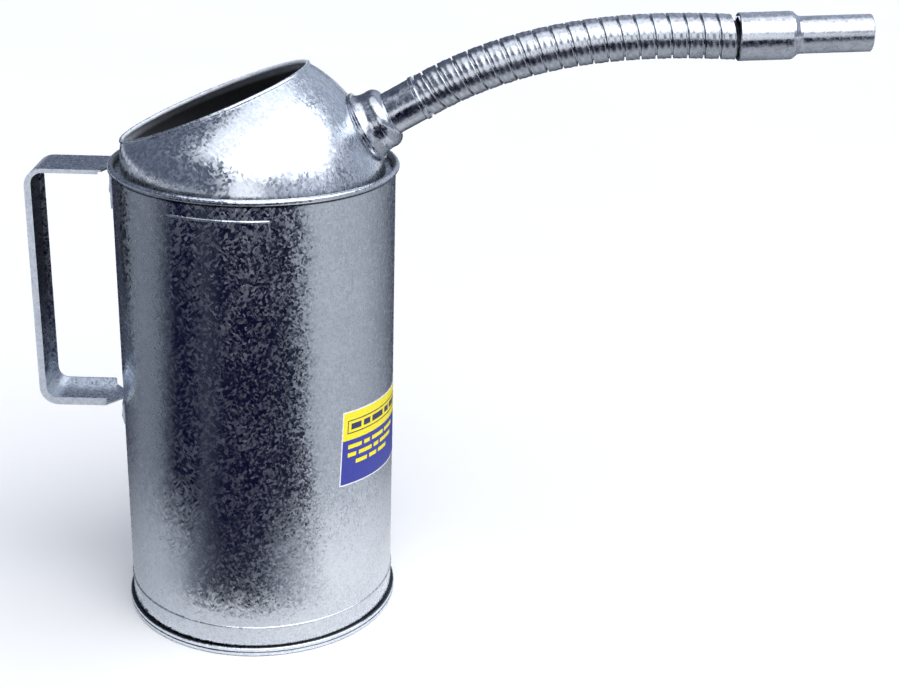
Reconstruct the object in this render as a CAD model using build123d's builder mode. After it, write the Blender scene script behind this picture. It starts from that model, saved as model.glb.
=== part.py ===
from build123d import *
import math
import os

os.makedirs("parts", exist_ok=True)

# Galvanised oil measure with a hooded mouth, a strap handle and a gooseneck spout.
# Millimetres. Origin: centre of the base ring, on the can's axis.
# +Z up, +X towards the spout, -X towards the handle.

# ---- sheet and can -------------------------------------------------------
sheet = 0.6                  # galvanised sheet thickness
can_r = 72.0                 # outer radius of the can wall
rim_top = 248.8              # height of the rolled rim
rim_roll_r = 1.55            # outside radius of the rolled rim's section
rim_wire_r = 0.95            # stiffening wire inside the roll
rim_roll_inset = 0.35        # roll centre outside the can wall
chime_r = 73.9               # outer radius of the double seam at the base
chime_h = 4.8                # height of the double seam
bottom_recess = 3.2          # underside of the bottom disc above the table
swage_z = 16.0               # stiffening ring pressed just above the seam
bead_r = 0.75                # section radius of the pressed beads
fill_z = 237.8               # capacity mark
fill_from = -118.0           # degrees round from +X
fill_sweep = 39.6
seam_w = 6.0                 # lock seam, folded to the inside under the handle
seam_depth = 1.2

# ---- hood ----------------------------------------------------------------
hood_base_r = 67.2
hood_base_z = 244.4
skirt_h = 5.0                # hood skirt soldered inside the can wall
mouth_tilt = 22.9            # slope of the mouth, rising towards the spout
mouth_len = 102.3            # along the slope
mouth_wid = 77.0
mouth_cx = -19.65
mouth_cz = 278.2
mouth_roll_r = 1.15
mouth_wire_r = 0.65
waist_tilt = 11.0            # section half way up the hood
waist_len = 121.6
waist_wid = 120.0
waist_cx = -7.7
waist_cz = 264.6

# ---- neck and ferrule ----------------------------------------------------
neck_angle = 30.5            # above horizontal
neck_x = 57.0                # neck axis crosses the collar here
neck_z = 267.3
collar_r = 18.7              # flange ring seen against the hood
collar_face = 1.2            # ring's outer face, along the neck axis
collar_back = -0.6
collar_skirt_r = 17.8        # skirt soldered onto the hood
collar_cove = 6.0            # end of the cove that runs into the socket
socket_r = 15.5
socket_len = 14.2
socket_straight = 8.0        # where the rounded shoulder starts
socket_mouth_r = 11.7
socket_wall = 0.9
ferrule_r = 11.0
ferrule_len = 32.7           # collar to first turn of the spout
ferrule_lip_r = 11.6

# ---- gooseneck spout -----------------------------------------------------
turns = 20
pitch = 8.0
turn_r = 11.2                # outer radius of a turn's band
turn_gap = 1.4               # between neighbouring bands
band_bore_r = 9.75           # inside of the band's open end
sleeve_r = 9.2               # sleeve that runs into the next band
duct_r = 8.6                 # clear passage
sleeve_reach = 2.6           # past the hinge centre
hose_start_angle = 31.2      # slope at the ferrule
hose_end_angle = -0.8        # slope at the nozzle
hose_ease = 1.44             # how fast the bend fades along the spout
nozzle_angle = 3.3
nozzle_r = 11.8
nozzle_wide = 26.3
nozzle_shoulder = 5.2
nozzle_tip_r = 9.17
nozzle_len = 66.4
nozzle_wall = 0.85

# ---- handle --------------------------------------------------------------
handle_out = -114.9          # outer face of the grip
handle_top = 245.0
handle_low = 115.6
handle_w = 28.0
handle_sheet = 0.9
flange_side = 3.5            # depth of the turned edges along the grip
flange_low = 4.2
flange_top = 2.2
handle_bend = 9.5            # outside radius of the corners
flange_stop = -77.5          # edge flanges end short of the can
cut_low = 9.8                # strap's corners cut off before the can, along X
cut_top = 4.4
cut_depth = 11.0             # and across the strap
tab_up = 20.0                # feet lying on the can wall
tab_low = 16.5
weld_r = 2.3
weld_spread = 7.5

# ---- label ---------------------------------------------------------------
label_from = -48.9           # degrees round from +X
label_arc = 60.4
label_low = 88.2
label_h = 42.0
label_tilt = -3.6
label_t = 0.15


def tilted(x, z, angle):
    """Section plane crossing the XZ plane along a line at this slope."""
    a = math.radians(angle)
    return Plane(
        origin=(x, 0, z),
        x_dir=(math.cos(a), 0, math.sin(a)),
        z_dir=(-math.sin(a), 0, math.cos(a)),
    )


def along(x, z, angle):
    """Profile plane in XZ: local X runs along the axis, local Y is radial."""
    a = math.radians(angle)
    return Plane(
        origin=(x, 0, z),
        x_dir=(math.cos(a), 0, math.sin(a)),
        z_dir=(0, -1, 0),
    )


def axis_of(plane):
    return Axis(plane.origin, plane.x_dir)


def turn_angle(k):
    """Slope of turn k; 0 is the ferrule, turns + 1 is the nozzle."""
    if k == 0:
        return neck_angle
    if k == turns + 1:
        return nozzle_angle
    left = 1 - (k - 0.5) / turns
    return hose_end_angle + (hose_start_angle - hose_end_angle) * left ** hose_ease


def hinge_points():
    """Centres of the joints between turns, from the ferrule to the nozzle."""
    a = math.radians(neck_angle)
    x = neck_x + ferrule_len * math.cos(a)
    z = neck_z + ferrule_len * math.sin(a)
    points = [(x, z)]
    for k in range(1, turns + 1):
        a = math.radians(turn_angle(k))
        x += pitch * math.cos(a)
        z += pitch * math.sin(a)
        points.append((x, z))
    return points


def finish(part, name):
    part.label = name
    export_step(part, f"parts/{name}.step")


# ---- can body: rolled sheet, lock seam, rolled rim, pressed beads ---------
def make_body_shell():
    wall_in = can_r - sheet
    roll_c = can_r + rim_roll_inset
    roll_z = rim_top - rim_roll_r
    with BuildPart() as body_shell:
        with BuildSketch(Plane.XZ):
            with Locations(((wall_in + can_r) / 2, (0.8 + roll_z) / 2)):
                Rectangle(sheet, roll_z - 0.8)
            with Locations((roll_c, roll_z)):
                Circle(rim_roll_r)
            with Locations((can_r - bead_r / 3, swage_z)):
                Circle(bead_r)
        revolve(axis=Axis.Z)
        # pressed capacity mark
        with BuildSketch(Plane.XZ.rotated((0, 0, fill_from))):
            with Locations((can_r - bead_r / 3, fill_z)):
                Circle(bead_r)
        revolve(axis=Axis.Z, revolution_arc=fill_sweep)
        with PolarLocations(can_r - bead_r / 3, 2, fill_from, fill_sweep, endpoint=True):
            with Locations((0, 0, fill_z)):
                Sphere(bead_r)
        # folded seam inside, opposite the spout
        with Locations((-wall_in + seam_depth / 2 - 0.1, 0, (chime_h + hood_base_z - skirt_h) / 2)):
            Box(seam_depth, seam_w, hood_base_z - skirt_h - chime_h - 4)
        # hollow side of the beads and of the roll
        with BuildSketch(Plane.XZ):
            with Locations((can_r - bead_r / 3 - sheet, swage_z)):
                Circle(bead_r)
            with Locations((roll_c, roll_z)):
                Circle(rim_wire_r + 0.02)
        revolve(axis=Axis.Z, mode=Mode.SUBTRACT)
        with BuildSketch(Plane.XZ.rotated((0, 0, fill_from))):
            with Locations((can_r - bead_r / 3 - sheet, fill_z)):
                Circle(bead_r)
        revolve(axis=Axis.Z, revolution_arc=fill_sweep, mode=Mode.SUBTRACT)
        # fine score each side of the seam on the outside
        with Locations(
            (-can_r - 0.8, -seam_w / 2, fill_z / 2),
            (-can_r - 0.8, seam_w / 2, fill_z / 2),
        ):
            Box(2.0, 0.5, fill_z - 40, mode=Mode.SUBTRACT)
    finish(body_shell.part, "body_shell")


def make_rim_wire():
    with BuildPart() as rim_wire:
        with Locations((0, 0, rim_top - rim_roll_r)):
            Torus(can_r + rim_roll_inset, rim_wire_r)
    finish(rim_wire.part, "rim_wire")


# ---- bottom: dished disc double-seamed onto the wall ----------------------
def make_bottom():
    wall_in = can_r - sheet
    with BuildPart() as bottom:
        with BuildSketch(Plane.XZ):
            with BuildLine():
                Polyline(
                    (0, bottom_recess),
                    (wall_in - 1.2, bottom_recess),
                    (wall_in - 1.2, 0.5),
                    (wall_in - 0.7, 0),
                    (chime_r - 0.5, 0),
                    (chime_r, 0.5),
                    (chime_r, 2.0),
                    (chime_r - 0.35, 2.4),
                    (chime_r, 2.8),
                    (chime_r, chime_h - 0.5),
                    (chime_r - 0.5, chime_h),
                    (can_r + 0.03, chime_h),
                    (can_r + 0.03, 0.77),
                    (wall_in - 0.03, 0.77),
                    (wall_in - 0.03, bottom_recess + sheet),
                    (0, bottom_recess + sheet),
                    close=True,
                )
            make_face()
        revolve(axis=Axis.Z)
    finish(bottom.part, "bottom")


# ---- hood ------------------------------------------------------------------
def hood_blank(grow):
    """Solid bounded by the hood's outer face moved outwards by grow."""
    with BuildPart() as blank:
        with BuildSketch(Plane.XY.offset(hood_base_z)):
            Circle(hood_base_r + grow)
        with BuildSketch(tilted(waist_cx, waist_cz, waist_tilt)):
            Ellipse(waist_len / 2 + grow, waist_wid / 2 + grow)
        with BuildSketch(tilted(mouth_cx, mouth_cz, mouth_tilt)):
            Ellipse(mouth_len / 2 + sheet / 2 + grow, mouth_wid / 2 + sheet / 2 + grow)
        loft()
    return blank.part


def mouth_ring(radius):
    """Round bar following the edge of the mouth."""
    plane = tilted(mouth_cx, mouth_cz, mouth_tilt)
    with BuildPart() as ring:
        with BuildLine(plane) as edge:
            EllipticalCenterArc((0, 0), mouth_len / 2, mouth_wid / 2, arc_size=360)
        with BuildSketch(Plane(origin=edge.line @ 0, z_dir=edge.line % 0)):
            Circle(radius)
        sweep(path=edge.line)
    return ring.part


def make_hood(outer, inner, roll, bore):
    neck = along(neck_x, neck_z, neck_angle)
    skirt_r = can_r - sheet - 0.05
    with BuildPart() as hood:
        add(outer)
        add(inner, mode=Mode.SUBTRACT)
        # seat and skirt inside the can wall
        with BuildSketch(Plane.XZ):
            with BuildLine():
                Polyline(
                    (hood_base_r - sheet, hood_base_z),
                    (skirt_r, hood_base_z),
                    (skirt_r, hood_base_z - skirt_h),
                    (skirt_r - sheet, hood_base_z - skirt_h),
                    (skirt_r - sheet, hood_base_z - sheet),
                    (hood_base_r - sheet, hood_base_z - sheet),
                    close=True,
                )
            make_face()
        revolve(axis=Axis.Z)
        add(roll)
        add(bore, mode=Mode.SUBTRACT)
        with BuildSketch(Plane(origin=neck.origin, z_dir=neck.x_dir)):
            Circle(socket_r + 0.05)
        extrude(amount=20, both=True, mode=Mode.SUBTRACT)
    finish(hood.part, "hood")


def make_mouth_wire(wire):
    with BuildPart() as mouth_wire:
        add(wire)
    finish(mouth_wire.part, "mouth_wire")


# ---- neck ------------------------------------------------------------------
def make_neck_collar(outer):
    neck = along(neck_x, neck_z, neck_angle)
    edge = 0.4
    with BuildPart() as neck_collar:
        with BuildSketch(neck):
            with BuildLine():
                ring = Polyline(
                    (-8, 0),
                    (-8, collar_skirt_r),
                    (collar_back, collar_skirt_r),
                    (collar_back, collar_r - edge),
                    (collar_back + edge, collar_r),
                    (collar_face - edge, collar_r),
                    (collar_face, collar_r - edge),
                    (collar_face, 17.3),
                )
                cove = ThreePointArc(ring @ 1, (2.9, 16.2), (collar_cove, socket_r + 0.2))
                Polyline(cove @ 1, (collar_cove, 0), (-8, 0))
            make_face()
        revolve(axis=axis_of(neck))
        add(outer, mode=Mode.SUBTRACT)
        with BuildSketch(Plane(origin=neck.origin, z_dir=neck.x_dir)):
            Circle(socket_r + 0.05)
        extrude(amount=20, both=True, mode=Mode.SUBTRACT)
    finish(neck_collar.part, "neck_collar")


def make_neck_socket():
    neck = along(neck_x, neck_z, neck_angle)
    shoulder = socket_len - socket_straight
    drop = socket_r - socket_mouth_r
    with BuildPart() as neck_socket:
        with BuildSketch(neck):
            with BuildLine():
                outside = Polyline(
                    (-7, socket_r - socket_wall),
                    (-7, socket_r),
                    (socket_straight, socket_r),
                )
                # quarter of an ellipse down to the ferrule
                ThreePointArc(
                    outside @ 1,
                    (socket_straight + 0.71 * shoulder, socket_r - 0.29 * drop),
                    (socket_len, socket_mouth_r),
                )
                Polyline(
                    (socket_len, socket_mouth_r),
                    (socket_len, ferrule_r + 0.04),
                    (socket_straight + 1, ferrule_r + 0.04),
                    (socket_straight + 1, socket_r - socket_wall),
                    (-7, socket_r - socket_wall),
                )
            make_face()
        revolve(axis=axis_of(neck))
    finish(neck_socket.part, "neck_socket")


def make_ferrule():
    neck = along(neck_x, neck_z, neck_angle)
    end = ferrule_len - turn_gap / 2
    with BuildPart() as ferrule:
        with BuildSketch(neck):
            with BuildLine():
                Polyline(
                    (6, ferrule_r),
                    (end - 2.6, ferrule_r),
                    (end - 2.0, ferrule_lip_r),
                    (end - 0.5, ferrule_lip_r),
                    (end, ferrule_lip_r - 0.5),
                    (end, sleeve_r),
                    (ferrule_len + sleeve_reach, sleeve_r),
                    (ferrule_len + sleeve_reach, duct_r),
                    (end - 2.5, duct_r),
                    (end - 3.5, ferrule_r - sheet),
                    (6, ferrule_r - sheet),
                    close=True,
                )
            make_face()
        revolve(axis=axis_of(neck))
    finish(ferrule.part, "ferrule")


# ---- one turn of the gooseneck --------------------------------------------
def make_turn(k, point):
    plane = along(point[0], point[1], turn_angle(k))
    start = turn_gap / 2
    end = pitch - turn_gap / 2
    edge = 0.45
    with BuildPart() as turn:
        with BuildSketch(plane):
            with BuildLine():
                Polyline(
                    (start, band_bore_r),
                    (start, turn_r - edge - 0.15),
                    (start + edge, turn_r - 0.15),
                    (pitch / 2, turn_r),
                    (end - edge, turn_r - 0.15),
                    (end, turn_r - edge - 0.15),
                    (end, sleeve_r),
                    (pitch + sleeve_reach, sleeve_r),
                    (pitch + sleeve_reach, duct_r),
                    (end - 2.0, duct_r),
                    (end - 2.0, band_bore_r),
                    close=True,
                )
            make_face()
        revolve(axis=axis_of(plane))
    finish(turn.part, f"turn_{k:02d}")


def make_nozzle(point):
    plane = along(point[0], point[1], nozzle_angle)
    start = turn_gap / 2
    bell_in = nozzle_r - nozzle_wall
    tip_in = nozzle_tip_r - nozzle_wall
    low = nozzle_wide + nozzle_shoulder
    with BuildPart() as nozzle:
        with BuildSketch(plane):
            with BuildLine():
                Polyline(
                    (start, band_bore_r),
                    (start, nozzle_r - 0.4),
                    (start + 0.4, nozzle_r),
                    (nozzle_wide, nozzle_r),
                    (nozzle_wide + 1.2, nozzle_r - 0.25),
                    (low - 1.4, nozzle_tip_r + 0.3),
                    (low, nozzle_tip_r),
                    (nozzle_len - 0.4, nozzle_tip_r),
                    (nozzle_len, nozzle_tip_r - 0.3),
                    (nozzle_len, tip_in),
                    (low - 0.6, tip_in),
                    (nozzle_wide + 0.4, bell_in),
                    (6.0, bell_in),
                    (5.0, band_bore_r),
                    close=True,
                )
            make_face()
        revolve(axis=axis_of(plane))
    finish(nozzle.part, "nozzle")


# ---- handle ----------------------------------------------------------------
def make_feet():
    """Two tabs curved to the can wall; the lower one has a round end."""
    seat = can_r + 0.05
    face = handle_w / 2
    low_top = handle_low + handle_sheet
    low_side = low_top - tab_low + face
    with BuildPart() as feet:
        with BuildSketch(Plane.YZ.offset(-can_r - 5)):
            with Locations((0, handle_top)):
                Rectangle(handle_w, tab_up, align=(Align.CENTER, Align.MAX))
            with BuildLine():
                sides = Polyline(
                    (face, low_side),
                    (face, low_top),
                    (-face, low_top),
                    (-face, low_side),
                )
                ThreePointArc(sides @ 1, (0, low_top - tab_low), sides @ 0)
            make_face()
        extrude(amount=can_r)
        with BuildSketch(Plane.XY):
            Circle(seat + handle_sheet)
            Circle(seat, mode=Mode.SUBTRACT)
        extrude(amount=rim_top, mode=Mode.INTERSECT)
    return feet.part


def make_handle(feet):
    height = handle_top - handle_low
    reach = 70.0
    mid_x = handle_out + reach / 2
    mid_z = (handle_top + handle_low) / 2
    face = handle_w / 2
    gap_low = handle_low + flange_low
    gap_top = handle_top - flange_top
    with BuildPart() as handle:
        # web: strap bent into a loop
        with BuildSketch(Plane.XZ):
            with Locations((mid_x, mid_z)):
                RectangleRounded(reach, height, handle_bend)
                RectangleRounded(
                    reach - 2 * handle_sheet,
                    height - 2 * handle_sheet,
                    handle_bend - handle_sheet,
                    mode=Mode.SUBTRACT,
                )
        extrude(amount=face, both=True)
        # edges turned towards the fingers
        with BuildSketch(
            Plane.XZ.offset(face - handle_sheet),
            Plane.XZ.offset(-face),
        ):
            with Locations((mid_x, mid_z)):
                RectangleRounded(reach, height, handle_bend)
            with Locations((mid_x + flange_side, (gap_low + gap_top) / 2)):
                RectangleRounded(
                    reach,
                    gap_top - gap_low,
                    handle_bend - flange_side,
                    mode=Mode.SUBTRACT,
                )
            with Locations((flange_stop, mid_z)):
                Rectangle(
                    reach,
                    height + 1,
                    align=(Align.MIN, Align.CENTER),
                    mode=Mode.SUBTRACT,
                )
        extrude(amount=handle_sheet)
        # corners cut off at a slant where the strap reaches the can
        for low, cut in ((handle_low - 1, cut_low), (mid_z, cut_top)):
            with BuildSketch(Plane.XY.offset(low)):
                with BuildLine():
                    Polyline(
                        (-can_r + 0.6 - cut, -face - 1),
                        (-can_r + 0.6, -face + cut_depth),
                        (-can_r + 4, -face + cut_depth),
                        (-can_r + 4, -face - 1),
                        close=True,
                    )
                make_face()
                mirror(about=Plane.XZ)
            extrude(amount=height / 2 + 2, mode=Mode.SUBTRACT)
        # nothing inside the can wall or past its centre
        with Locations((0, 0, mid_z)):
            Cylinder(can_r + 0.05, height + 20, mode=Mode.SUBTRACT)
        with Locations((-20, 0, mid_z)):
            Box(60, handle_w + 10, height + 20, mode=Mode.SUBTRACT)
        add(feet)
    finish(handle.part, "handle")


def make_weld(name, y, z):
    seat = can_r + 0.05 + handle_sheet
    crown = math.sqrt(seat ** 2 - y ** 2) + 0.5
    with BuildPart() as weld:
        with BuildSketch(Plane(origin=(-crown, y, z), z_dir=(1, 0, 0))):
            Circle(weld_r)
        extrude(amount=2.5)
        with Locations((0, 0, z)):
            Cylinder(seat, 4 * weld_r, mode=Mode.SUBTRACT)
    finish(weld.part, name)


# ---- label -----------------------------------------------------------------
def make_label():
    mid = math.radians(label_from + label_arc / 2)
    out = (math.cos(mid), math.sin(mid), 0)
    half = can_r * math.sin(math.radians(label_arc / 2))
    face = Plane(
        origin=(0, 0, label_low + label_h / 2),
        x_dir=(-out[1], out[0], 0),
        z_dir=out,
    )
    with BuildPart() as label:
        with BuildSketch(face):
            Rectangle(2 * half, label_h, rotation=label_tilt)
        extrude(amount=can_r + 5)
        with BuildSketch(Plane.XY):
            Circle(can_r + 0.01 + label_t)
            Circle(can_r + 0.01, mode=Mode.SUBTRACT)
        extrude(amount=rim_top, mode=Mode.INTERSECT)
    finish(label.part, "label")


make_body_shell()
make_rim_wire()
make_bottom()

hood_outer = hood_blank(0)
hood_inner = hood_blank(-sheet)
make_hood(hood_outer, hood_inner, mouth_ring(mouth_roll_r), mouth_ring(mouth_wire_r + 0.02))
make_mouth_wire(mouth_ring(mouth_wire_r))
make_neck_collar(hood_outer)
make_neck_socket()
make_ferrule()

hinges = hinge_points()
for k in range(1, turns + 1):
    make_turn(k, hinges[k - 1])
make_nozzle(hinges[turns])

make_handle(make_feet())
make_weld("weld_upper_near", -weld_spread, handle_top - tab_up * 0.55)
make_weld("weld_upper_far", weld_spread, handle_top - tab_up * 0.55)
make_weld("weld_lower_near", -weld_spread, handle_low - tab_low * 0.45)
make_weld("weld_lower_far", weld_spread, handle_low - tab_low * 0.45)
make_label()
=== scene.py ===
import math

import bmesh
import bpy
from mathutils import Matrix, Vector


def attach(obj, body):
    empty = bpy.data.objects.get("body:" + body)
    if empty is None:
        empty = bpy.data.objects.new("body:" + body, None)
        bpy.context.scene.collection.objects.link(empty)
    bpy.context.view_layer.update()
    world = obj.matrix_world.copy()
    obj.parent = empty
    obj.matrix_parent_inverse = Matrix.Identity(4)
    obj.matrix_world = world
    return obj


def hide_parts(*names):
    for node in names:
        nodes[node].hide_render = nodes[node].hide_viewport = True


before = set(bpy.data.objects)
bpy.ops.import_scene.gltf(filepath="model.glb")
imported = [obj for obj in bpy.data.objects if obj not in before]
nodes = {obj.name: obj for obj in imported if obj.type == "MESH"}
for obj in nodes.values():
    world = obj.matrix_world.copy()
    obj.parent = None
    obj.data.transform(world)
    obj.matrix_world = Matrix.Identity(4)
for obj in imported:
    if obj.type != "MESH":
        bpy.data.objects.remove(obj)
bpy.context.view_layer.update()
scene = bpy.context.scene

# ---------------------------------------------------------------- camera
cam_data = bpy.data.cameras.new("camera")
cam_data.lens = 60.92
cam_data.sensor_width = 36.0
cam_data.clip_start = 0.01
cam_data.clip_end = 50
cam = bpy.data.objects.new("camera", cam_data)
cam.location = (0.09278, -0.75565, 0.4537)
cam.rotation_euler = (math.radians(68.102), math.radians(-1.54), math.radians(-0.101))
scene.collection.objects.link(cam)
scene.camera = cam

# winds of the gooseneck, and the length of one along its axis
TURNS, PITCH = 20, 0.008

# ---------------------------------------------------------------- shader helpers
MOUTH_TILT = math.radians(22.9)
MOUTH_AT = (-0.01965, 0.0, 0.2782)
MOUTH_UP = (-math.sin(MOUTH_TILT), 0.0, math.cos(MOUTH_TILT))


class Shader:
    """Builds one node material; every helper returns an output socket."""

    def __init__(self, name):
        self.mat = bpy.data.materials.new(name)
        self.mat.use_nodes = True
        self.tree = self.mat.node_tree
        self.bsdf = self.tree.nodes["Principled BSDF"]
        self.coord = self.tree.nodes.new("ShaderNodeTexCoord").outputs["Object"]

    def link(self, out, to):
        self.tree.links.new(out, to)
        return out

    def mapping(self, scale=(1, 1, 1), rot=(0, 0, 0), loc=(0, 0, 0)):
        n = self.tree.nodes.new("ShaderNodeMapping")
        n.inputs["Scale"].default_value = scale
        n.inputs["Rotation"].default_value = rot
        n.inputs["Location"].default_value = loc
        self.link(self.coord, n.inputs["Vector"])
        return n.outputs["Vector"]

    def axis(self, vec, i):
        n = self.tree.nodes.new("ShaderNodeSeparateXYZ")
        self.link(vec, n.inputs[0])
        return n.outputs[i]

    def slant(self, stretch, rot, loc=(0, 0, 0)):
        """Coordinates turned first and stretched after, for grain that lies aslant."""
        n = self.tree.nodes.new("ShaderNodeMapping")
        n.vector_type = "TEXTURE"
        n.inputs["Scale"].default_value = stretch
        n.inputs["Rotation"].default_value = rot
        n.inputs["Location"].default_value = loc
        self.link(self.coord, n.inputs["Vector"])
        return n.outputs["Vector"]

    def inward(self):
        """1 on faces that look in at the can's axis, 0 on faces that look out."""
        arm = self.vector("NORMALIZE", self.vector("MULTIPLY", self.coord, (1, 1, 0)))
        return self.math("LESS_THAN", self.dot(self.normal(), arm), -0.15)

    def below_mouth(self):
        """Metres below the plane of the hood's mouth."""
        return self.dot(self.vector("SUBTRACT", MOUTH_AT, self.coord), MOUTH_UP)

    def noise(self, vec, scale, detail=3.0, rough=0.5, distort=0.0):
        n = self.tree.nodes.new("ShaderNodeTexNoise")
        n.inputs["Scale"].default_value = scale
        n.inputs["Detail"].default_value = detail
        n.inputs["Roughness"].default_value = rough
        n.inputs["Distortion"].default_value = distort
        self.link(vec, n.inputs["Vector"])
        return n.outputs["Fac"]

    def warp(self, vec, scale, amount):
        """vec pushed about by a noise, so cell edges turn feathery."""
        n = self.tree.nodes.new("ShaderNodeTexNoise")
        n.inputs["Scale"].default_value = scale
        n.inputs["Detail"].default_value = 3.0
        self.link(vec, n.inputs["Vector"])
        off = self.vector("SUBTRACT", n.outputs["Color"], (0.5, 0.5, 0.5))
        return self.vector("ADD", vec, self.vector("SCALE", off, scale=amount))

    def cells(self, vec, scale):
        """One random colour per crystal, and its grey."""
        n = self.tree.nodes.new("ShaderNodeTexVoronoi")
        n.inputs["Scale"].default_value = scale
        self.link(vec, n.inputs["Vector"])
        s = self.tree.nodes.new("ShaderNodeSeparateColor")
        self.link(n.outputs["Color"], s.inputs[0])
        return n.outputs["Color"], s.outputs[0]

    def normal(self):
        return self.tree.nodes.new("ShaderNodeNewGeometry").outputs["Normal"]

    def dot(self, a, b):
        n = self.tree.nodes.new("ShaderNodeVectorMath")
        n.operation = "DOT_PRODUCT"
        for socket, v in zip(n.inputs, (a, b)):
            if isinstance(v, tuple):
                socket.default_value = v
            else:
                self.link(v, socket)
        return n.outputs["Value"]

    def vector(self, op, a, b=None, scale=None):
        n = self.tree.nodes.new("ShaderNodeVectorMath")
        n.operation = op
        for i, v in enumerate((a, b)):
            if v is None:
                continue
            if isinstance(v, tuple):
                n.inputs[i].default_value = v
            else:
                self.link(v, n.inputs[i])
        if isinstance(scale, bpy.types.NodeSocket):
            self.link(scale, n.inputs["Scale"])
        elif scale is not None:
            n.inputs["Scale"].default_value = scale
        return n.outputs[0]

    def tilted(self, colours, amount):
        """Surface normal leaned a little, each crystal its own way."""
        lean = self.vector("SCALE", self.vector("SUBTRACT", colours, (0.5, 0.5, 0.5)), scale=amount)
        return self.vector("NORMALIZE", self.vector("ADD", self.normal(), lean))

    def math(self, op, a, b=None):
        n = self.tree.nodes.new("ShaderNodeMath")
        n.operation = op
        for i, v in enumerate((a, b)):
            if v is None:
                continue
            if isinstance(v, (int, float)):
                n.inputs[i].default_value = v
            else:
                self.link(v, n.inputs[i])
        return n.outputs[0]

    def mix(self, fac, a, b):
        """Blend of two greys by a factor."""
        n = self.tree.nodes.new("ShaderNodeMix")
        for socket, v in ((n.inputs[0], fac), (n.inputs[2], a), (n.inputs[3], b)):
            if isinstance(v, (int, float)):
                socket.default_value = v
            else:
                self.link(v, socket)
        return n.outputs[0]

    def mix_colours(self, fac, a, b):
        n = self.tree.nodes.new("ShaderNodeMix")
        n.data_type = "RGBA"
        for key, v in (("Factor", fac), ("A", a), ("B", b)):
            self.link(v, n.inputs[key])
        return n.outputs["Result"]

    def fade(self, value, start, end):
        """0 below start, 1 above end, smooth between."""
        n = self.tree.nodes.new("ShaderNodeMapRange")
        n.interpolation_type = "SMOOTHSTEP"
        self.link(value, n.inputs["Value"])
        n.inputs["From Min"].default_value = start
        n.inputs["From Max"].default_value = end
        return n.outputs["Result"]

    def ramp(self, fac, stops):
        n = self.tree.nodes.new("ShaderNodeValToRGB")
        els = n.color_ramp.elements
        while len(els) < len(stops):
            els.new(0.5)
        for e, (pos, col) in zip(els, stops):
            e.position = pos
            if isinstance(col, (int, float)):
                col = (col, col, col)
            e.color = (*col, 1)
        self.link(fac, n.inputs["Fac"])
        return n.outputs["Color"]

    def bump(self, height, strength, distance, under=None):
        n = self.tree.nodes.new("ShaderNodeBump")
        n.inputs["Strength"].default_value = strength
        n.inputs["Distance"].default_value = distance
        self.link(height, n.inputs["Height"])
        if under is not None:
            self.link(under, n.inputs["Normal"])
        return n.outputs["Normal"]

    def set(self, **values):
        for k, v in values.items():
            socket = self.bsdf.inputs[k.replace("_", " ")]
            if isinstance(v, bpy.types.NodeSocket):
                self.link(v, socket)
            else:
                socket.default_value = v
        return self.mat


def hood_shade_and_dullness(s):
    """Inside: dull sheet, a strip along the mouth's hem at full tone, and painted shade darkening
    the sheet below it.
    """
    inside = s.inward()
    # stops in centimetres below the mouth
    deep = s.ramp(s.math("MULTIPLY", s.below_mouth(), 100), [(0.36, 0.0), (0.60, 1.0)])
    painted_shade = s.math("MULTIPLY", s.math("MULTIPLY", inside, deep), 0.86)
    return s.math("SUBTRACT", 1.0, painted_shade), s.math("MULTIPLY", inside, 0.8)


# heights and half widths of the dark lines of painted shade along the can's folds
FOLDS = ((0.0050, 0.0005), (0.0024, 0.0004), (0.0, 0.0005), (0.2452, 0.0006))


def can_shade_and_dullness(s):
    """Painted shade: dark lines along the folds of the seams and the rim, and the inside darkened.
    """
    inside = s.inward()
    tone = s.math("SUBTRACT", 1.0, s.math("MULTIPLY", inside, 0.8))
    for height, half in FOLDS:
        away = s.math("ABSOLUTE", s.math("SUBTRACT", s.axis(s.coord, 2), height))
        line = s.ramp(s.math("DIVIDE", away, 2 * half), [(0.30, 0.10), (0.62, 1.0)])
        tone = s.math("MULTIPLY", tone, line)
    return tone, s.math("MULTIPLY", inside, 0.8)


def strap_shade_and_dullness(s):
    """Turned edges rubbed dull and pale; painted shade darkens the channel's floor in its upper
    part.
    """
    normal = s.normal()
    outward = s.math("MULTIPLY", s.axis(normal, 1), s.math("SIGN", s.axis(s.coord, 1)))
    edge = s.math("GREATER_THAN", outward, 0.6)
    towards_can = s.math("GREATER_THAN", s.axis(normal, 0), 0.6)
    on_grip = s.math("LESS_THAN", s.axis(s.coord, 0), -0.1)
    floor = s.math("MULTIPLY", towards_can, on_grip)
    # stops in quarters of a metre above the base
    shade = s.ramp(s.math("MULTIPLY", s.axis(s.coord, 2), 4), [(0.60, 0.15), (0.70, 0.88)])
    tone = s.math("SUBTRACT", 1.0, s.math("MULTIPLY", floor, shade))
    return tone, s.math("MULTIPLY", edge, 0.6)


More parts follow.
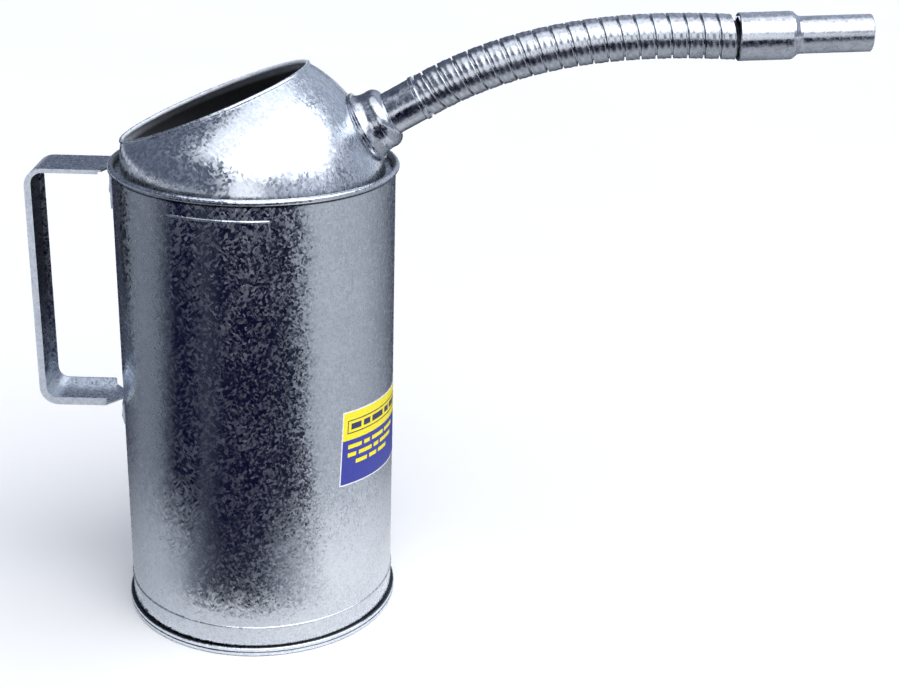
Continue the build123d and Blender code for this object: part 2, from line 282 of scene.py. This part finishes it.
def galvanised(name, shade_and_dullness, cell=760, lean=0.13, tint=(0.70, 0.745, 0.81), rough=(0.12, 0.34)):
    """Hot-dip zinc: fine feathery crystals lying aslant, each with its own lean and shine.

    The function passed in gives the tone the colour is scaled by, which carries painted shade, and
    how dull the metal is.
    """
    s = Shader(name)
    stretch = (0.75, 0.75, 1.9)
    one = s.slant(stretch, (math.radians(25), math.radians(42), 0))
    two = s.slant(stretch, (math.radians(-25), math.radians(-38), 0), (0.3, 0.1, 0.2))
    one_col, a = s.cells(s.warp(one, 700, 0.0018), cell)
    two_col, b = s.cells(s.warp(two, 700, 0.0018), cell * 1.2)
    pick = s.ramp(s.noise(s.mapping(), 160, 3, 0.6), [(0.44, 0.0), (0.56, 1.0)])
    grain = s.mix(pick, a, b)
    cloud = s.noise(s.mapping(), 32, 5, 0.65)
    v = s.mix(0.45, grain, cloud)
    dark = tuple(c * 0.88 for c in tint)
    light = tuple(min(1.0, c * 1.10) for c in tint)
    tone, dull = shade_and_dullness(s)
    colour = s.ramp(v, [(0.30, dark), (0.5, tint), (0.70, light)])
    s.set(Base_Color=s.vector("SCALE", colour, scale=tone))
    s.set(Metallic=s.math("SUBTRACT", 1.0, dull))
    shine = s.ramp(v, [(0.34, rough[0]), (0.68, rough[1])])
    s.set(Roughness=s.math("MAXIMUM", shine, s.math("MULTIPLY", dull, 0.75)))
    n = s.tilted(s.mix_colours(pick, one_col, two_col), lean)
    n = s.bump(s.noise(s.mapping(scale=(1, 1, 0.4)), 18, 2, 0.5), 0.20, 0.004, n)
    s.set(Normal=s.bump(s.noise(s.mapping(), 1500, 2, 0.5), 0.04, 0.0004, n))
    return s.mat


def plated(name, tone=(0.70, 0.74, 0.80), rough=(0.14, 0.30), lean=0.05):
    """Bright zinc plate with fine handling marks."""
    s = Shader(name)
    cloud = s.noise(s.mapping(), 150, 5, 0.65)
    colours, specks = s.cells(s.warp(s.mapping(), 500, 0.003), 700)
    v = s.mix(0.35, cloud, specks)
    darker = tuple(c * 0.78 for c in tone)
    brighter = tuple(min(1, c * 1.15) for c in tone)
    s.set(Base_Color=s.ramp(v, [(0.3, darker), (0.5, tone), (0.7, brighter)]), Metallic=1.0)
    s.set(Roughness=s.ramp(v, [(0.3, rough[0]), (0.7, rough[1])]))
    s.set(Normal=s.bump(cloud, 0.10, 0.0008, s.tilted(colours, lean)))
    return s.mat


def wire_steel(name):
    s = Shader(name)
    v = s.noise(s.mapping(scale=(1, 1, 8)), 300, 3, 0.5)
    s.set(Base_Color=s.ramp(v, [(0.3, (0.35, 0.36, 0.4)), (0.7, (0.6, 0.62, 0.66))]), Metallic=1.0)
    s.set(Roughness=s.ramp(v, [(0.3, 0.3), (0.7, 0.5)]))
    return s.mat


def print_film(name, colour, rough=0.32):
    s = Shader(name)
    v = s.noise(s.mapping(), 700, 3, 0.6)
    low = tuple(c * 0.93 for c in colour)
    s.set(Base_Color=s.ramp(v, [(0.35, low), (0.65, colour)]))
    s.set(Roughness=s.ramp(v, [(0.3, rough - 0.05), (0.7, rough + 0.08)]))
    s.set(Normal=s.bump(s.noise(s.mapping(), 90, 2, 0.5), 0.06, 0.001))
    return s.mat


sheet_mat = galvanised("galvanised_sheet", can_shade_and_dullness)
hood_mat = galvanised("galvanised_hood", hood_shade_and_dullness, cell=650, lean=0.10, rough=(0.18, 0.36))
strap_mat = galvanised("galvanised_strap", strap_shade_and_dullness, lean=0.07, rough=(0.20, 0.38))
fitting_mat = plated("plated_fitting", tone=(0.58, 0.612, 0.665), lean=0.03)
strip_mat = plated("plated_strip", tone=(0.54, 0.57, 0.62), rough=(0.20, 0.30), lean=0.02)
wire_mat = wire_steel("drawn_wire")


def dress(name, mat):
    mesh = nodes[name].data
    mesh.materials.clear()
    mesh.materials.append(mat)


dress("body_shell", sheet_mat)
dress("bottom", sheet_mat)
dress("hood", hood_mat)
dress("handle", strap_mat)
dress("rim_wire", wire_mat)
dress("mouth_wire", wire_mat)
for name in ("neck_collar", "neck_socket", "ferrule", "nozzle"):
    dress(name, fitting_mat)
for name in ("weld_upper_near", "weld_upper_far", "weld_lower_near", "weld_lower_far"):
    dress(name, strap_mat)
for k in range(1, TURNS + 1):
    dress(f"turn_{k:02d}", strip_mat)


def link_mesh(name, verts, faces, mats, face_mats=None, smooth=True):
    me = bpy.data.meshes.new(name)
    me.from_pydata([tuple(v) for v in verts], [], faces)
    for m in mats:
        me.materials.append(m)
    if face_mats:
        me.polygons.foreach_set("material_index", face_mats)
    me.polygons.foreach_set("use_smooth", [smooth] * len(me.polygons))
    me.update()
    ob = bpy.data.objects.new(name, me)
    scene.collection.objects.link(ob)
    return ob


# ---------------------------------------------------------------- label
yellow = print_film("label_yellow", (0.95, 0.80, 0.01))
blue = print_film("label_blue", (0.035, 0.045, 0.33))
white = print_film("label_white", (0.85, 0.86, 0.86))
ink = print_film("label_ink", (0.03, 0.035, 0.12))

CAN_R = 0.072
LABEL_FROM, LABEL_ARC = -48.9, 60.4     # left edge and width, in degrees round the can
LABEL_LOW, LABEL_H, LABEL_TILT = 0.0882, 0.042, math.radians(-3.6)
LABEL_W = CAN_R * math.radians(LABEL_ARC)


def label_point(u, v, lift):
    """u across and v up the label, in metres from its centre, on the can wall."""
    a = u * math.cos(LABEL_TILT) - v * math.sin(LABEL_TILT)
    z = u * math.sin(LABEL_TILT) + v * math.cos(LABEL_TILT)
    ang = math.radians(LABEL_FROM + LABEL_ARC / 2) + a / CAN_R
    r = CAN_R + lift
    return (r * math.cos(ang), r * math.sin(ang), LABEL_LOW + LABEL_H / 2 + z)


class Film:
    """Collects thin printed patches into one mesh."""

    def __init__(self):
        self.verts, self.faces, self.mats = [], [], []

    def patch(self, u0, u1, v0, v1, low, high, mat):
        n = max(2, int(abs(u1 - u0) / 0.001))
        base = len(self.verts)
        for i in range(n + 1):
            u = u0 + (u1 - u0) * i / n
            for v, lift in ((v0, high), (v1, high), (v1, low), (v0, low)):
                self.verts.append(label_point(u, v, lift))
        for i in range(n):
            a = base + 4 * i
            for j in range(4):
                self.faces.append((a + j, a + 4 + j, a + 4 + (j + 1) % 4, a + (j + 1) % 4))
                self.mats.append(mat)
        self.faces.append((base + 3, base + 2, base + 1, base))
        e = base + 4 * n
        self.faces.append((e, e + 1, e + 2, e + 3))
        self.mats += [mat, mat]


# lowest and highest face of each layer above the can wall, and the film's material slots
BACKING, FIELD, PRINT = (0.00002, 0.00010), (0.00010, 0.00012), (0.00012, 0.00014)
WHITE, YELLOW, BLUE, INK = range(4)
film = Film()
hw, hh, edge = LABEL_W / 2 - 0.0003, LABEL_H / 2 - 0.0003, 0.0007
split = LABEL_H * 0.11
film.patch(-hw, hw, -hh, hh, *BACKING, WHITE)
film.patch(-hw + edge, hw - edge, split, hh - edge, *FIELD, YELLOW)
film.patch(-hw + edge, hw - edge, -hh + edge, split, *FIELD, BLUE)
# framed panel with plain bars, standing for print
fx0, fx1, fy0, fy1, fw = -hw + 0.0035, hw - 0.004, split + 0.0035, split + 0.0110, 0.0006
for u0, u1, v0, v1 in (
    (fx0, fx1, fy0, fy0 + fw),
    (fx0, fx1, fy1 - fw, fy1),
    (fx0, fx0 + fw, fy0, fy1),
    (fx1 - fw, fx1, fy0, fy1),
):
    film.patch(u0, u1, v0, v1, *PRINT, INK)
bars = [
    (0.004, 0.0115), (0.0135, 0.019), (0.021, 0.0325), (0.035, 0.0405), (0.043, 0.052),
    (0.054, 0.061),
]
for a, b in bars:
    bar_end = min(fx0 + b - 0.0015, fx1 - 0.002)
    film.patch(fx0 + a - 0.0015, bar_end, fy0 + 0.0021, fy1 - 0.0021, *PRINT, INK)
for row, (start, spans) in enumerate((
    (0.0045, ((0.0, 0.010), (0.012, 0.017), (0.019, 0.031), (0.033, 0.046))),
    (0.0045, ((0.0, 0.006), (0.008, 0.019), (0.021, 0.026), (0.028, 0.043))),
    (0.0105, ((0.0, 0.009), (0.011, 0.018), (0.020, 0.030))),
)):
    y1 = split - 0.0028 - row * 0.0046
    for a, b in spans:
        film.patch(-hw + start + a, -hw + start + b, y1 - 0.0022, y1, *PRINT, YELLOW)
films = [white, yellow, blue, ink]
label = link_mesh("label_film", film.verts, film.faces, films, film.mats, smooth=False)
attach(label, "can")
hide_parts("label")

# ---------------------------------------------------------------- gooseneck
# slopes in degrees: the neck, where the spout starts and ends, and the nozzle
NECK, START, END, NOZZLE = 30.5, 31.2, -0.8, 3.3
EASE = 1.44                             # how much of the bend lies near the neck
LENGTH = TURNS * PITCH


def slope(k):
    """Slope of the k-th wind; 0 is the neck, and past the last one is the nozzle."""
    if k == 0:
        return NECK
    if k > TURNS:
        return NOZZLE
    return END + (START - END) * (1 - (k - 0.5) / TURNS) ** EASE


# the first hinge stands this far along the neck's axis from the neck's foot
NECK_FOOT, NECK_REACH = Vector((0.057, 0, 0.2673)), 0.0327
neck = math.radians(NECK)
hinges = [NECK_FOOT + Vector((math.cos(neck), 0, math.sin(neck))) * NECK_REACH]
for k in range(1, TURNS + 1):
    a = math.radians(slope(k))
    hinges.append(hinges[-1] + Vector((math.cos(a), 0, math.sin(a))) * PITCH)


def centre_at(s):
    """Point and slope on the spout's axis at length s; slopes change smoothly at the hinges."""
    i = min(max(int(s / PITCH), 0), TURNS - 1)
    a = math.radians(slope(i + 1))
    p = hinges[i] + Vector((math.cos(a), 0, math.sin(a))) * (s - i * PITCH)
    half = s / PITCH + 0.5
    k0 = int(math.floor(half))
    t = half - k0
    ang = slope(max(k0, 0)) * (1 - t) + slope(min(k0 + 1, TURNS + 1)) * t
    return p, math.radians(ang)


# across one winding, outside and then inside: distance along the spout and radius, in millimetres
STRIP = [
    (-4.00, 9.32), (-3.62, 9.32), (-3.56, 10.70), (-3.38, 11.02), (-3.05, 11.14), (-2.6, 11.06),
    (-1.8, 11.0), (-0.9, 11.1), (-0.2, 11.19), (0.5, 11.1), (1.3, 10.98), (2.2, 10.98),
    (2.8, 11.08), (3.2, 11.06), (3.46, 10.85), (3.56, 10.5), (3.62, 9.32), (4.00, 9.32),
    (4.00, 8.75), (-4.00, 8.75),
]
STEPS = 72                              # facets round one wind
STRIP_STARTS = 2.2                      # where round the tube each wind starts, in radians


def winding(k):
    """One wind of the spiral strip, its middle running from hinge k to hinge k + 1."""
    verts, faces = [], []
    n = len(STRIP)
    for i in range(STEPS + 1):
        phi = STRIP_STARTS - 2 * math.pi * i / STEPS
        s_mid = (k + i / STEPS) * PITCH
        for t, r in STRIP:
            s = min(max(s_mid + t / 1000, 0.0006), LENGTH + 0.0005)
            p, a = centre_at(s)
            side = Vector((0, -1, 0))
            up = Vector((-math.sin(a), 0, math.cos(a)))
            verts.append(p + (up * math.sin(phi) + side * math.cos(phi)) * r / 1000)
    for i in range(STEPS):
        for j in range(n):
            a, b = i * n + j, i * n + (j + 1) % n
            faces.append((a, a + n, b + n, b))
    faces.append(tuple(range(n - 1, -1, -1)))
    faces.append(tuple(STEPS * n + j for j in range(n)))
    return verts, faces


bodies = ["can"] + [f"turn_{k:02d}" for k in range(1, TURNS + 1)] + ["nozzle"]
for k in range(TURNS):
    verts, faces = winding(k)
    ob = link_mesh(f"winding_{k + 1:02d}", verts, faces, [strip_mat])
    bm = bmesh.new()
    bm.from_mesh(ob.data)
    bmesh.ops.recalc_face_normals(bm, faces=bm.faces)
    bm.to_mesh(ob.data)
    bm.free()
    ob.data.set_sharp_from_angle(angle=math.radians(38))
    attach(ob, bodies[k + 1])
    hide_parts(f"turn_{k + 1:02d}")

# ---------------------------------------------------------------- stage and light
scene.view_settings.view_transform = "Standard"

floor_mat = Shader("stage_floor")
mottle = floor_mat.noise(floor_mat.mapping(), 3, 2)
floor_mat.set(Base_Color=floor_mat.ramp(mottle, [(0.3, 0.90), (0.7, 0.92)]), Roughness=0.9)
bpy.ops.mesh.primitive_plane_add(size=40, location=(0, 0, 0))
floor = bpy.context.object
floor.name = "stage_floor"
floor.data.materials.append(floor_mat.mat)


# radiance of the studio floor as the metal sees it, by degrees round the can:
# at its foot, near and far
FLOOR_FOOT = [
    (-180, 0.46), (-150, 0.60), (-120, 0.80), (-90, 0.86), (-60, 0.98), (0, 0.95), (60, 0.66),
    (110, 0.40), (150, 0.36), (180, 0.46),
]
FLOOR_NEAR = [
    (-180, 0.46), (-158, 0.56), (-140, 0.44), (-126, 0.12), (-110, 0.02), (-88, 0.03),
    (-76, 0.20), (-58, 0.62), (-38, 1.05), (0, 0.92), (40, 0.64), (75, 0.38), (100, 0.28),
    (130, 0.18), (155, 0.30), (180, 0.46),
]
FLOOR_FAR = [
    (-180, 0.24), (-168, 0.22), (-161, 0.09), (-154, 0.008), (-136, 0.003), (-127, 0.055),
    (-116, 0.008), (-90, 0.003), (-60, 0.012), (-51, 0.06), (-46, 0.46), (-36, 0.58), (5, 0.52),
    (36, 0.31), (62, 0.09), (85, 0.03), (125, 0.02), (150, 0.12), (165, 0.23), (180, 0.24),
]

# the ring that carries them: radii and height, in metres
RING_IN, RING_OUT, RING_LIFT = 0.078, 3.0, 0.002


def ring_colours(s, turn, table):
    """Colour round the can: shadows run to blue, lights stay neutral."""
    stops = []
    for az, v in table:
        stops.append(((az + 180) / 360, (v * (0.80 + 0.2 * v), v * (0.90 + 0.1 * v), v + 0.02)))
    return s.ramp(turn, stops)


def reflector():
    """Sheet round the foot of the can, seen only in reflections: the tones of a studio floor."""
    s = Shader("stage_reflector")
    x, y = s.axis(s.coord, 0), s.axis(s.coord, 1)
    turn = s.math("ADD", s.math("DIVIDE", s.math("ARCTAN2", y, x), 2 * math.pi), 0.5)
    radius = s.math("SQRT", s.math("ADD", s.math("MULTIPLY", x, x), s.math("MULTIPLY", y, y)))
    tone = ring_colours(s, turn, FLOOR_FOOT)
    for table, start, end in ((FLOOR_NEAR, 0.104, 0.122), (FLOOR_FAR, 0.135, 0.245)):
        tone = s.mix_colours(s.fade(radius, start, end), tone, ring_colours(s, turn, table))
    light = s.tree.nodes.new("ShaderNodeEmission")
    s.link(tone, light.inputs["Color"])
    s.link(light.outputs[0], s.tree.nodes["Material Output"].inputs["Surface"])
    steps = 64
    verts, faces = [], []
    for i in range(steps):
        a = 2 * math.pi * i / steps
        verts += [(r * math.cos(a), r * math.sin(a), RING_LIFT) for r in (RING_IN, RING_OUT)]
        j = (2 * i + 2) % (2 * steps)
        faces.append((2 * i, 2 * i + 1, j + 1, j))
    ob = link_mesh("stage_reflector", verts, faces, [s.mat], smooth=False)
    ob.visible_camera = False
    ob.visible_diffuse = False
    ob.visible_shadow = False


reflector()


class Sky:
    """World lit by direction: soft boxes standing in a dim studio."""

    def __init__(self, room):
        scene.world = bpy.data.worlds.new("studio")
        scene.world.use_nodes = True
        self.tree = scene.world.node_tree
        self.dir = self.tree.nodes.new("ShaderNodeTexCoord").outputs["Generated"]
        base = self.tree.nodes.new("ShaderNodeRGB")
        base.outputs[0].default_value = (*room, 1)
        self.total = base.outputs[0]

    def box(self, az, el, half, soft, colour):
        """Round soft box: centre direction, half angle and the width of its edge, in degrees."""
        a, e = math.radians(az), math.radians(el)
        dot = self.tree.nodes.new("ShaderNodeVectorMath")
        dot.operation = "DOT_PRODUCT"
        self.tree.links.new(self.dir, dot.inputs[0])
        centre = (math.cos(e) * math.cos(a), math.cos(e) * math.sin(a), math.sin(e))
        dot.inputs[1].default_value = centre
        edge = self.tree.nodes.new("ShaderNodeMapRange")
        edge.interpolation_type = "SMOOTHSTEP"
        self.tree.links.new(dot.outputs["Value"], edge.inputs["Value"])
        edge.inputs["From Min"].default_value = math.cos(math.radians(half + soft / 2))
        edge.inputs["From Max"].default_value = math.cos(math.radians(max(half - soft / 2, 0)))
        tint = self.tree.nodes.new("ShaderNodeVectorMath")
        tint.operation = "SCALE"
        tint.inputs[0].default_value = colour
        self.tree.links.new(edge.outputs["Result"], tint.inputs["Scale"])
        add = self.tree.nodes.new("ShaderNodeVectorMath")
        add.operation = "ADD"
        self.tree.links.new(self.total, add.inputs[0])
        self.tree.links.new(tint.outputs[0], add.inputs[1])
        self.total = add.outputs[0]

    def done(self):
        self.tree.links.new(self.total, self.tree.nodes["Background"].inputs["Color"])


sky = Sky(room=(0.11, 0.13, 0.185))
sky.box(-110, 80, 31, 12, (1.2, 1.22, 1.25))       # overhead
sky.box(-72, 51, 27, 6, (2.0, 2.0, 2.0))           # large key, front
sky.box(-18, 47, 26, 6, (2.0, 2.0, 2.0))           # large key, front right
sky.box(-90, 8, 15, 6, (1.3, 1.3, 1.3))            # low front
sky.box(-35, 5, 30, 16, (0.25, 0.26, 0.30))        # low right
sky.box(48, 34, 38, 24, (0.34, 0.37, 0.42))        # fill, back right
sky.done()
